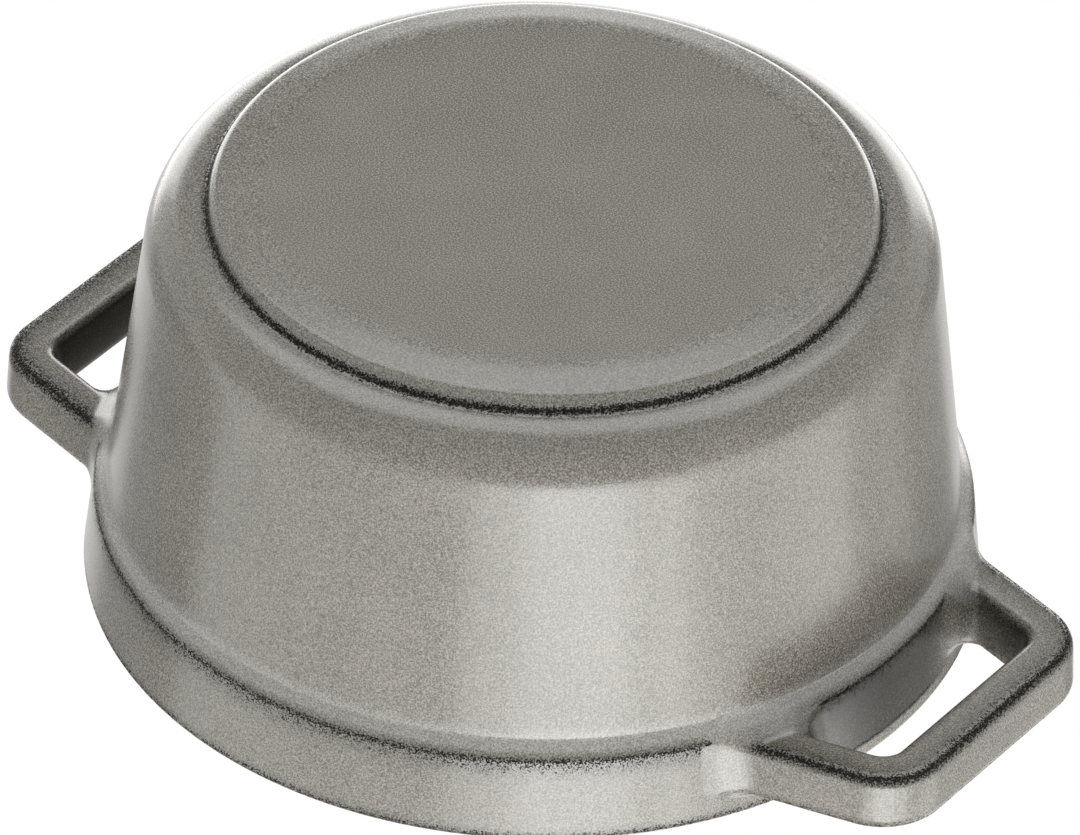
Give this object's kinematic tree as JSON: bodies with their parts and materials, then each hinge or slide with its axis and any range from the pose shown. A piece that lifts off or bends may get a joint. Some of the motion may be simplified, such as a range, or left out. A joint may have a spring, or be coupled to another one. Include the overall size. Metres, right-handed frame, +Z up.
{
  "type": "lidded cooking pot",
  "caption": "Small round cooking pot in enamelled cast iron with a rim collar and square bracket handles, and an inset lid with a turned metal knob that lifts straight off.",
  "frame": {"origin": "on the pot's axis, in the plane of the flat base that the pot stands on", "axes": "+Z up through the knob, X along the line through both handles, Y across it"},
  "size_m": [0.1348, 0.1056, 0.0698],
  "materials": {
    "grey_enamel": "fused grey enamel, satin gloss, finely speckled",
    "nickel": "nickel plated, turned",
    "zinc_steel": "zinc plated"
  },
  "bodies": {
    "pot": {"pot_body": "grey_enamel"},
    "lid_set": {"lid": "grey_enamel", "knob": "nickel", "knob_screw": "zinc_steel", "lock_washer": "zinc_steel"}
  },
  "joints": [
    {"name": "lid_lift", "type": "slide", "parent": "pot", "child": "lid_set", "axis": [0, 0, 1], "range_m": [0, 0.04]}
  ]
}
